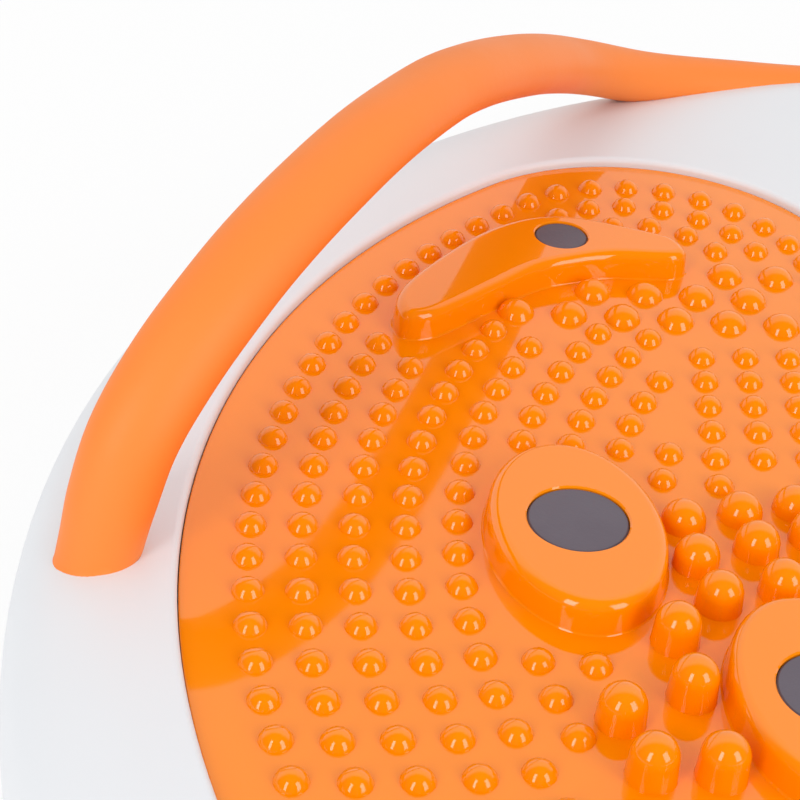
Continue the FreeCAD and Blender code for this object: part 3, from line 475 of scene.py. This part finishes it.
def cut_away(bm, cutter):
    """Cuts one closed form out of another and gives the result back as a new shape."""
    hosts = []
    for shape in (bm, cutter):
        bmesh.ops.recalc_face_normals(shape, faces=shape.faces)
        mesh = bpy.data.meshes.new("blank")
        shape.to_mesh(mesh)
        shape.free()
        host = bpy.data.objects.new("blank", mesh)
        bpy.context.scene.collection.objects.link(host)
        hosts.append(host)
    cut = hosts[0].modifiers.new("cut", "BOOLEAN")
    cut.operation, cut.object, cut.solver = "DIFFERENCE", hosts[1], "EXACT"
    bpy.context.view_layer.update()
    seen = hosts[0].evaluated_get(bpy.context.evaluated_depsgraph_get())
    result = bmesh.new()
    result.from_mesh(seen.to_mesh())
    seen.to_mesh_clear()
    for host in hosts:
        mesh = host.data
        bpy.data.objects.remove(host)
        bpy.data.meshes.remove(mesh)
    return result


def shoulder(inset):
    """Points of the shell's side from the foot up to the flat top, drawn in by a wall."""
    reach = CREST_ROUND - EDGE_ROUND
    crest_r = DISC_R - EDGE_ROUND - reach * math.sin(CREST_LEAN)
    crest_z = SHELL_TOP - CREST_ROUND
    edge_r = crest_r + reach * math.sin(CREST_LEAN)
    edge_z = crest_z + reach * math.cos(CREST_LEAN)
    edge, crest = EDGE_ROUND - inset, CREST_ROUND - inset
    points = []
    for k in range(EDGE_STEPS + 1):
        a = TURN / 4 + (CREST_LEAN - TURN / 4) * k / EDGE_STEPS
        points.append((edge_r + edge * math.sin(a), edge_z + edge * math.cos(a)))
    for k in range(1, CREST_STEPS + 1):
        a = CREST_LEAN * (1 - k / CREST_STEPS)
        points.append((crest_r + crest * math.sin(a), crest_z + crest * math.cos(a)))
    return points


outer = shoulder(0)
inner = [(r, z) for r, z in shoulder(SHELL_WALL) if z < SHELL_CEILING]
skirt_r = DISC_R - SKIRT_TAPER
shell = bmesh.new()
turned(shell, [(skirt_r, SKIRT_FOOT)] + outer + [(0, SHELL_TOP), (0, SHELL_CEILING),
                                                 (inner[-1][0], SHELL_CEILING)]
       + inner[::-1] + [(skirt_r - SHELL_WALL, SKIRT_FOOT)])
softened(shell, SKIRT_EDGE, least=60,
         where=lambda e: all(v.co.z < SKIRT_FOOT + SKIRT_EDGE_BAND for v in e.verts))
lip = [(0.0, POCKET_FLOOR)]
for k in range(LIP_STEPS + 1):
    a = TURN / 4 * k / LIP_STEPS
    lip.append((LIP_ROUND * (1 - math.cos(a)), SHELL_TOP - LIP_ROUND + LIP_ROUND * math.sin(a)))
lip.append((LIP_ROUND + LIP_SPREAD, SHELL_TOP + CUT_OVERRUN))
pockets = bmesh.new()
stacked(pockets, foot_outline, lip)
mirrored_too(pockets)
shell = cut_away(shell, pockets)
piece(shell, "white_shell", "turntable", shell_white, ["top_shell"])


# Foot pads: one glossy orange moulding under each foot, set 1.8 mm below the shell's lip. Small
# domes follow the outline in rings, larger ones lie under the ball of the foot, tall pins stand
# round the arch, and raised pads hold the magnets.
insert_orange = finish("insert_orange", tone=(0.985, 0.262, 0.0), deep=(0.965, 0.248, 0.0),
                       rough=0.045, smear_rough=0.09, grain_scale=300.0, grain_depth=0.0,
                       wave_depth=0.03, Specular_IOR_Level=0.65)
PAD_TOP, PAD_GAP = 42.0, 0.15
PAD_EDGE, PAD_EDGE_MIDDLE_IN, PAD_EDGE_MIDDLE_DOWN = 0.3, 0.07, 0.12
STUD_SINK, BUMP_GAP = 0.3, 1.0
BUMP_R, BUMP_RISE, BUMP_DRAFT, BUMP_FLARE, BUMP_PITCH = 2.6, 2.05, 20, 0.08, 8.0
RING_IN, RING_STEP, CLOSED_RING_COUNT, INNER_RING_COUNT = 10.6, 8.2, 4, 9
RING_START_SHARES, INNER_ROOM_SHARE = (0.63, 0.5, 0.4, 0.3), 0.4
BALL_BUMP_R, BALL_BUMP_RISE, BALL_PITCH = 3.6, 2.6, 10.2
BALL_ROW_COUNTS, BALL_ROW_SLOPE = (7, 5, 3), 0.05
BALL_ROW_SHARES = ((-0.61, -0.495), (-0.266, -0.27), (0.35, -0.03))
PIN_R, PIN_HEIGHT, PIN_DRAFT, PIN_FLARE = 3.75, 7.5, 3, 0.15
RAISED_RISE, RAISED_ROUND, RAISED_FLARE, RAISED_SIDE = 5.6, 2.0, 0.8, 0.3
RAISED_DROP, RAISED_ROUND_STEPS = 2.4, 7


def spans(grow):
    """The outline's stretches from the middle of the rim side: centre, radius, two angles."""
    middle = (TOE_ANGLE + HEEL_ANGLE) / 2
    return [(WIDE_AT, WIDE_R + grow, middle, HEEL_ANGLE),
            (HEEL_AT, HEEL_R + grow, HEEL_ANGLE, SIDE_ANGLE + TURN),
            (HEEL_AT + aside(HEEL_R + grow, SIDE_ANGLE), TOE_AT + aside(TOE_R + grow, SIDE_ANGLE)),
            (TOE_AT, TOE_R + grow, SIDE_ANGLE, TOE_ANGLE),
            (WIDE_AT, WIDE_R + grow, TOE_ANGLE, middle)]


def ring_places(grow, pitch, first_share):
    """Points evenly spaced round the outline, about a pitch apart, from a share of one on."""
    parts = spans(grow)
    lengths = [(s[1] - s[0]).length if len(s) == 2 else s[1] * (s[3] - s[2]) for s in parts]
    count = round(sum(lengths) / pitch)
    found = []
    for i in range(count):
        along = (i + first_share) * sum(lengths) / count
        for s, length in zip(parts, lengths):
            if along <= length:
                break
            along -= length
        if len(s) == 2:
            found.append(s[0].lerp(s[1], along / length))
        else:
            found.append(s[0] + aside(s[1], s[2] + (s[3] - s[2]) * along / length))
    return found


def inside(p, grow):
    """True where a point lies within the outline grown by a length."""
    if (p - WIDE_AT).length > WIDE_R + grow:
        return False
    if (p - TOE_AT).length <= TOE_R + grow or (p - HEEL_AT).length <= HEEL_R + grow:
        return True
    along = (p - HEEL_AT).dot(between) / between.length
    angle = math.atan2(p.y - WIDE_AT.y, p.x - WIDE_AT.x) % TURN
    on_inner_side = aside(1, SIDE_ANGLE).dot(p - HEEL_AT) <= HEEL_R + grow
    return on_inner_side and (TOE_ANGLE <= angle <= HEEL_ANGLE or 0 <= along <= between.length)


def on_pad(x, y):
    """A place given in shares of the wide arc's radius from its centre."""
    return WIDE_AT + Vector((x, y, 0)) * WIDE_R


EGG_HALF_WIDTH, EGG_HALF_LENGTH, EGG_TILT = 13.7, 20.8, math.radians(100)
HEEL_PAD_HALF_WIDTH, HEEL_PAD_HALF_LENGTH = 11.5, 16.0
OUTER_EGG_SHARES, INNER_EGG_SHARES, HEEL_PAD_SHARES = (
    (-0.630, -0.022), (-0.420, -0.229), (-0.560, -0.545))
EGGS = [(on_pad(*OUTER_EGG_SHARES), EGG_HALF_WIDTH, EGG_HALF_LENGTH),
        (on_pad(*INNER_EGG_SHARES), EGG_HALF_WIDTH, EGG_HALF_LENGTH),
        (on_pad(*HEEL_PAD_SHARES), HEEL_PAD_HALF_WIDTH, HEEL_PAD_HALF_LENGTH)]
CRESCENT_CENTRE_SHARES = (-0.552, 0.269)
CRESCENT_AT, CRESCENT_R, CRESCENT_HALF = on_pad(*CRESCENT_CENTRE_SHARES), 43.8, 8.6
CRESCENT_FIRST, CRESCENT_LAST = math.radians(75), math.radians(166)
CRESCENT_LINE_STEPS = 8
CRESCENT_SHARES = (
    (0, -0.14), (0.03, 0.25), (0.08, 0.45), (0.21, 0.74), (0.285, 0.98), (0.357, 1.10),
    (0.448, 1.04), (0.58, 0.78), (0.814, 0.47), (0.945, 0.39), (1.025, 0.03), (1.0, -0.48),
    (0.9, -0.86), (0.733, -1.09), (0.525, -0.99), (0.367, -0.90), (0.226, -0.74),
    (0.077, -0.60), (0.02, -0.44))
PIN_SHARES = (
    (-0.523, 0.026, 0.58), (-0.466, 0.046, 0.58), (-0.410, 0.064, 0.58), (-0.516, -0.035, 0.72),
    (-0.456, -0.007, 0.72), (-0.400, 0.018, 0.72), (-0.500, -0.092, 0.82), (-0.439, -0.067, 0.82),
    (-0.384, -0.041, 0.82), (-0.544, -0.148, 0.95), (-0.535, -0.218, 1.0), (-0.598, -0.254, 0.87),
    (-0.576, -0.315, 0.97), (-0.518, -0.309, 1.0))


def clear_of_eggs(p, margin):
    for place, half_width, half_length in EGGS:
        q = Matrix.Rotation(-EGG_TILT, 3, "Z") @ (p - place)
        if (q.x / (half_length + margin)) ** 2 + (q.y / (half_width + margin)) ** 2 <= 1:
            return False
    return True


def between_steps(a, b, c, d, t):
    """Smooth value between b and c, with a before and d after them."""
    return 0.5 * (2 * b + (c - a) * t + (2 * a - 5 * b + 4 * c - d) * t ** 2
                  + (3 * b - a - 3 * c + d) * t ** 3)


def crescent_points(grow):
    """Smooth closed line round the crescent toe pad, grown outwards."""
    marks = []
    for along, out in CRESCENT_SHARES:
        angle = CRESCENT_FIRST + along * (CRESCENT_LAST - CRESCENT_FIRST)
        marks.append(CRESCENT_AT + aside(CRESCENT_R + out * CRESCENT_HALF, angle))
    line = []
    for i in range(len(marks)):
        near = [marks[(i + k) % len(marks)] for k in (-1, 0, 1, 2)]
        line += [between_steps(*near, j / CRESCENT_LINE_STEPS) for j in range(CRESCENT_LINE_STEPS)]
    ways = [(line[(i + 1) % len(line)] - line[i - 1]).normalized() for i in range(len(line))]
    return [p + way.cross(Vector((0, 0, 1))) * grow for p, way in zip(line, ways)]


def clear_of_crescent(p, line):
    """True where a point lies outside a closed line."""
    crossings = 0
    for a, b in zip(line, line[1:] + line[:1]):
        if (a.y > p.y) != (b.y > p.y) and p.x < a.x + (b.x - a.x) * (p.y - a.y) / (b.y - a.y):
            crossings += 1
    return crossings % 2 == 0


pin_places = [on_pad(x, y) for x, y, height_share in PIN_SHARES]
ball_places = []
for count, (x, y) in zip(BALL_ROW_COUNTS, BALL_ROW_SHARES):
    for i in range(count):
        step = i * BALL_PITCH
        p = TOE_AT + Vector((x * TOE_R + step, y * TOE_R + step * BALL_ROW_SLOPE, 0))
        if inside(p, -RING_IN - BUMP_R - BUMP_GAP - BALL_BUMP_R):
            ball_places.append(p)
small_rings = [ring_places(-RING_IN - ring * RING_STEP, BUMP_PITCH, first_share)
               for ring, first_share in enumerate(RING_START_SHARES)]
middle = (TOE_ANGLE + HEEL_ANGLE) / 2
inner_room = RING_IN + (CLOSED_RING_COUNT - 1 + INNER_ROOM_SHARE) * RING_STEP
for ring in range(CLOSED_RING_COUNT, CLOSED_RING_COUNT + INNER_RING_COUNT):
    radius = WIDE_R - RING_IN - ring * RING_STEP
    count = int((HEEL_ANGLE - middle) * radius / BUMP_PITCH)
    row = [WIDE_AT + aside(radius, middle + i * BUMP_PITCH / radius)
           for i in range(-count, count + 1)]
    small_rings.append([p for p in row if inside(p, -inner_room)])
raised_room = BUMP_R + BUMP_GAP + RAISED_FLARE
crescent_room = crescent_points(raised_room)
small_places = []
for p in [p for row in small_rings for p in row]:
    if (clear_of_eggs(p, raised_room) and clear_of_crescent(p, crescent_room)
            and all((p - q).length > PIN_R + BUMP_R + BUMP_GAP for q in pin_places)
            and all((p - q).length > BALL_BUMP_R + BUMP_R + BUMP_GAP for q in ball_places)
            and all((p - q).length > 2 * BUMP_R + BUMP_GAP for q in small_places)):
        small_places.append(p)


def studs(radius, height, draft, flare, places, sides, rows):
    """Studs with drafted sides and a round top, their feet sunk a little into the plate."""
    bm = bmesh.new()
    lean = math.radians(draft)
    ball = (radius - height * math.tan(lean)) * math.cos(lean) / (1 - math.sin(lean))
    foot_r = radius - flare * math.tan(lean)
    profile = [(0, -STUD_SINK), (radius + flare, -STUD_SINK), (foot_r, flare)]
    profile += [(ball * math.cos(a), height - ball + ball * math.sin(a))
                for a in [lean + (TURN / 4 - lean) * k / rows for k in range(rows + 1)]]
    profile[-1] = (0, height)
    turned(bm, profile, steps=sides, closed=False)
    moved_copies(bm, [(p.x, p.y, PAD_TOP) for p in places])
    return bm


def egg_outline(place, half_width, half_length):
    def outline(bm, grow, z):
        made = bmesh.ops.create_circle(bm, segments=72, radius=1.0)["verts"]
        bmesh.ops.scale(bm, vec=(half_length + grow, half_width + grow, 1), verts=made)
        bmesh.ops.rotate(bm, cent=(0, 0, 0), matrix=Matrix.Rotation(EGG_TILT, 3, "Z"), verts=made)
        bmesh.ops.translate(bm, vec=place + Vector((0, 0, z)), verts=made)
        return list({e for v in made for e in v.link_edges})
    return outline


def crescent_outline(bm, grow, z):
    points = crescent_points(grow)
    made = bmesh.ops.create_circle(bm, segments=len(points), radius=1.0)["verts"]
    for vert, point in zip(made, points):
        vert.co = point + Vector((0, 0, z))
    return list({e for v in made for e in v.link_edges})


def raised_levels():
    """Side of a raised pad: sunk foot, fillet, flared side and a full round at the top."""
    fillet = ((1.0, -0.8), (1.0, -0.05), (0.8, 0.12), (0.65, 0.4), (0.4, RAISED_RISE - RAISED_DROP))
    levels = [(grow, PAD_TOP + rise) for grow, rise in fillet]
    for k in range(RAISED_ROUND_STEPS + 1):
        a = TURN / 4 * k / RAISED_ROUND_STEPS
        levels.append((RAISED_SIDE - RAISED_ROUND * (1 - math.cos(a)),
                       PAD_TOP + RAISED_RISE - RAISED_ROUND * (1 - math.sin(a))))
    return levels


def raised_pads():
    bm = bmesh.new()
    for place, half_width, half_length in EGGS:
        stacked(bm, egg_outline(place, half_width, half_length), raised_levels())
    stacked(bm, crescent_outline, raised_levels())
    return bm


MAGNET_R, SMALL_MAGNET_R, MAGNET_THICKNESS, MAGNET_SINK = 8.1, 5.2, 3.0, 0.3
MAGNET_GAP, RECESS_EDGE, RECESS_ABOVE, RECESS_OVERRUN = 0.1, 0.3, 0.05, 1.4
TOE_MAGNET_ANGLE, TOE_MAGNET_OUT = math.radians(107.6), 1
MAGNETS = [("toe", CRESCENT_AT + aside(CRESCENT_R + TOE_MAGNET_OUT, TOE_MAGNET_ANGLE),
            SMALL_MAGNET_R),
           ("outer_arch", EGGS[0][0], MAGNET_R), ("inner_arch", EGGS[1][0], MAGNET_R),
           ("heel", EGGS[2][0], SMALL_MAGNET_R)]
raised_top = PAD_TOP + RAISED_RISE
magnet_top = raised_top - MAGNET_SINK
magnet_floor = magnet_top - MAGNET_THICKNESS
recess_edge_z = raised_top + RECESS_ABOVE
recesses = bmesh.new()
for name, place, radius in MAGNETS:
    recess = bmesh.new()
    wall_r = radius + MAGNET_GAP
    turned(recess, [(0, magnet_floor), (wall_r, magnet_floor),
                    (wall_r, recess_edge_z - RECESS_EDGE), (wall_r + RECESS_EDGE, recess_edge_z),
                    (wall_r + RECESS_EDGE, raised_top + RECESS_OVERRUN),
                    (0, raised_top + RECESS_OVERRUN)], steps=72, closed=False)
    moved_copies(recess, [(place.x, place.y, 0)])
    joined(recesses, recess)
pads = cut_away(raised_pads(), recesses)
foot_pad = bmesh.new()
stacked(foot_pad, foot_outline, [
    (-PAD_GAP, POCKET_FLOOR), (-PAD_GAP, PAD_TOP - PAD_EDGE),
    (-PAD_GAP - PAD_EDGE_MIDDLE_IN, PAD_TOP - PAD_EDGE_MIDDLE_DOWN), (-PAD_GAP - PAD_EDGE, PAD_TOP)])
joined(foot_pad, pads,
       studs(BUMP_R, BUMP_RISE, BUMP_DRAFT, BUMP_FLARE, small_places, sides=15, rows=4),
       studs(BALL_BUMP_R, BALL_BUMP_RISE, BUMP_DRAFT, BUMP_FLARE, ball_places, sides=28, rows=7))
for place, (x, y, height_share) in zip(pin_places, PIN_SHARES):
    joined(foot_pad, studs(PIN_R, PIN_HEIGHT * height_share, PIN_DRAFT, PIN_FLARE, [place],
                           sides=32, rows=9))
left_pad = foot_pad.copy()
piece(left_pad, "left_foot_pad", "turntable", insert_orange, ["left_foot_insert"])
bmesh.ops.scale(foot_pad, vec=(-1, 1, 1), verts=foot_pad.verts)
piece(foot_pad, "right_foot_pad", "turntable", insert_orange,
      ["right_foot_insert"])


# Magnets: sintered ferrite discs with ground faces and a small chamfer, glued into the raised
# pads a little below their tops.
magnet_grey = finish("magnet_grey", tone=(0.125, 0.10, 0.128), deep=(0.10, 0.082, 0.103),
                     rough=0.42, smear_rough=0.6, grain_scale=1300.0, grain_depth=0.5)
MAGNET_EDGE = 0.3
for side, sign in (("left", 1), ("right", -1)):
    for name, place, radius in MAGNETS:
        disc = bmesh.new()
        turned(disc, [(0, magnet_floor), (radius, magnet_floor), (radius, magnet_top - MAGNET_EDGE),
                      (radius - MAGNET_EDGE, magnet_top), (0, magnet_top)], steps=72, closed=False)
        moved_copies(disc, [(sign * place.x, place.y, 0)])
        piece(disc, side + "_" + name + "_disc", "turntable", magnet_grey,
              [side + "_" + name + "_magnet"])


# Handles: a solid oval bar of satin orange plastic on each side. Its toe end lies along the rim,
# it arches up for the fingers to pass under, and a steep leg comes down at the heel end. Both
# ends are screwed down from inside the shell.
handle_orange = finish("handle_orange", tone=(0.98, 0.25, 0.036), deep=(0.955, 0.235, 0.03),
                       rough=0.52, smear_rough=0.6, grain_scale=560.0, grain_depth=0.35,
                       Specular_IOR_Level=0.4)
BOW_PATH_SHARES = (
    (-0.060, 0.965, -0.139), (-0.163, 0.953, -0.127), (-0.250, 0.932, -0.105),
    (-0.330, 0.907, -0.059), (-0.444, 0.850, 0.055), (-0.531, 0.770, 0.248),
    (-0.586, 0.641, 0.505), (-0.631, 0.523, 0.705), (-0.667, 0.428, 0.841),
    (-0.700, 0.341, 0.932), (-0.746, 0.225, 0.982), (-0.787, 0.138, 0.941),
    (-0.822, 0.070, 0.864), (-0.852, 0.015, 0.755), (-0.879, -0.027, 0.614),
    (-0.902, -0.060, 0.436), (-0.916, -0.075, 0.225), (-0.925, -0.082, 0.036),
    (-0.935, -0.090, -0.191))
BOW_WIDTH_SHARES = (0.81, 0.81, 0.81, 0.82, 0.89, 0.95, 0.99, 0.99, 0.97, 0.98, 1.0, 1.0, 0.985,
                    0.97, 0.96, 0.94, 0.92, 0.87, 0.85)
BOW_RISE, BOW_FOOT_SINK = 44.0, 0.2
BAR_HALF_WIDTH, BAR_HALF_THICKNESS, BAR_SEAT_SINK = 7.5, 6.0, 0.3
BAR_SIDES, BAR_CUTS, BAR_CROWDING = 48, 150, 1.3
TIP_LENGTH, TIP_SHARE, AIM_SHARE = 7.0, 0.2, 0.002


def eased(shares, along):
    """Smooth value between even steps, at a share of the way along them."""
    steps = len(shares) - 1
    i = min(int(along * steps), steps - 1)
    return between_steps(shares[max(i - 1, 0)], shares[i], shares[i + 1],
                         shares[min(i + 2, steps)], along * steps - i)


def bow_point(along):
    """Middle of the bar at a share of the way along it."""
    x, y, rise = [eased([step[k] for step in BOW_PATH_SHARES], along) for k in range(3)]
    return Vector((DISC_R * x, DISC_R * y, SHELL_TOP - BOW_FOOT_SINK + BOW_RISE * rise))


def shell_surface(radius):
    """Height of the shell's outer face at a distance from the axis."""
    points = sorted(outer)
    if radius <= points[0][0]:
        return SHELL_TOP
    for (r0, z0), (r1, z1) in zip(points, points[1:]):
        if radius <= r1:
            return z0 + (z1 - z0) * (radius - r0) / (r1 - r0)
    return points[-1][1]


def handle_bar():
    """The left bar: a tube of even rings, each carried to its place along the bow."""
    bm = bmesh.new()
    bmesh.ops.create_cone(bm, cap_ends=True, segments=BAR_SIDES, radius1=1, radius2=1, depth=1)
    long_edges = [e for e in bm.edges if abs(e.verts[0].co.z - e.verts[1].co.z) > 0.5]
    bmesh.ops.subdivide_edges(bm, edges=long_edges, cuts=BAR_CUTS, use_grid_fill=True)
    for v in bm.verts:
        share = (v.co.z + 0.5) ** BAR_CROWDING
        middle = bow_point(share)
        to_end = (middle - bow_point(0)).length / TIP_LENGTH
        closing = math.sqrt(max(1 - (1 - to_end) ** 2, TIP_SHARE ** 2)) if to_end < 1 else 1.0
        half_width = BAR_HALF_WIDTH * eased(BOW_WIDTH_SHARES, share)
        half_thickness = min(BAR_HALF_THICKNESS, half_width)
        ahead, back = min(share + AIM_SHARE, 1), max(share - AIM_SHARE, 0)
        along = (bow_point(ahead) - bow_point(back)).normalized()
        upright = Vector((middle.x, middle.y, 0)).cross(along).normalized()
        out = along.cross(upright)
        v.co = (middle + out * v.co.x * half_width * closing
                + upright * v.co.y * half_thickness * closing)
        v.co.z = max(v.co.z, shell_surface(v.co.xy.length) - BAR_SEAT_SINK)
    return bm


piece(handle_bar(), "left_grip", "turntable", handle_orange, ["left_handle"],
      smooth=70, weighted=False)
twin = handle_bar()
bmesh.ops.scale(twin, vec=(-1, 1, 1), verts=twin.verts)
piece(twin, "right_grip", "turntable", handle_orange, ["right_handle"],
      smooth=70, weighted=False)


# Under cover: a flat white ring that closes the rim from below, with a raised inner lip and ten
# screws.
COVER_IN_R, COVER_OUT_R, COVER_THICKNESS = 166, 190.7, 2.5
COVER_LIP_WALL, COVER_LIP_HEIGHT = 2.5, 3.0
COVER_GROOVE_OUT, COVER_GROOVE_IN, COVER_GROOVE_DEPTH, COVER_EDGE = 187, 172, 0.5, 0.3
cover_top = SKIRT_FOOT + COVER_THICKNESS
cover = bmesh.new()
turned(cover, [(COVER_IN_R, SKIRT_FOOT), (COVER_IN_R, cover_top + COVER_LIP_HEIGHT),
               (COVER_IN_R + COVER_LIP_WALL, cover_top + COVER_LIP_HEIGHT),
               (COVER_IN_R + COVER_LIP_WALL, cover_top), (COVER_OUT_R, cover_top),
               (COVER_OUT_R, SKIRT_FOOT), (COVER_GROOVE_OUT + GROOVE_SLOPE, SKIRT_FOOT),
               (COVER_GROOVE_OUT, SKIRT_FOOT + COVER_GROOVE_DEPTH),
               (COVER_GROOVE_IN, SKIRT_FOOT + COVER_GROOVE_DEPTH),
               (COVER_GROOVE_IN - GROOVE_SLOPE, SKIRT_FOOT)])
softened(cover, COVER_EDGE, segments=2, least=60)
piece(cover, "cover_ring", "turntable", shell_white, ["under_cover"])
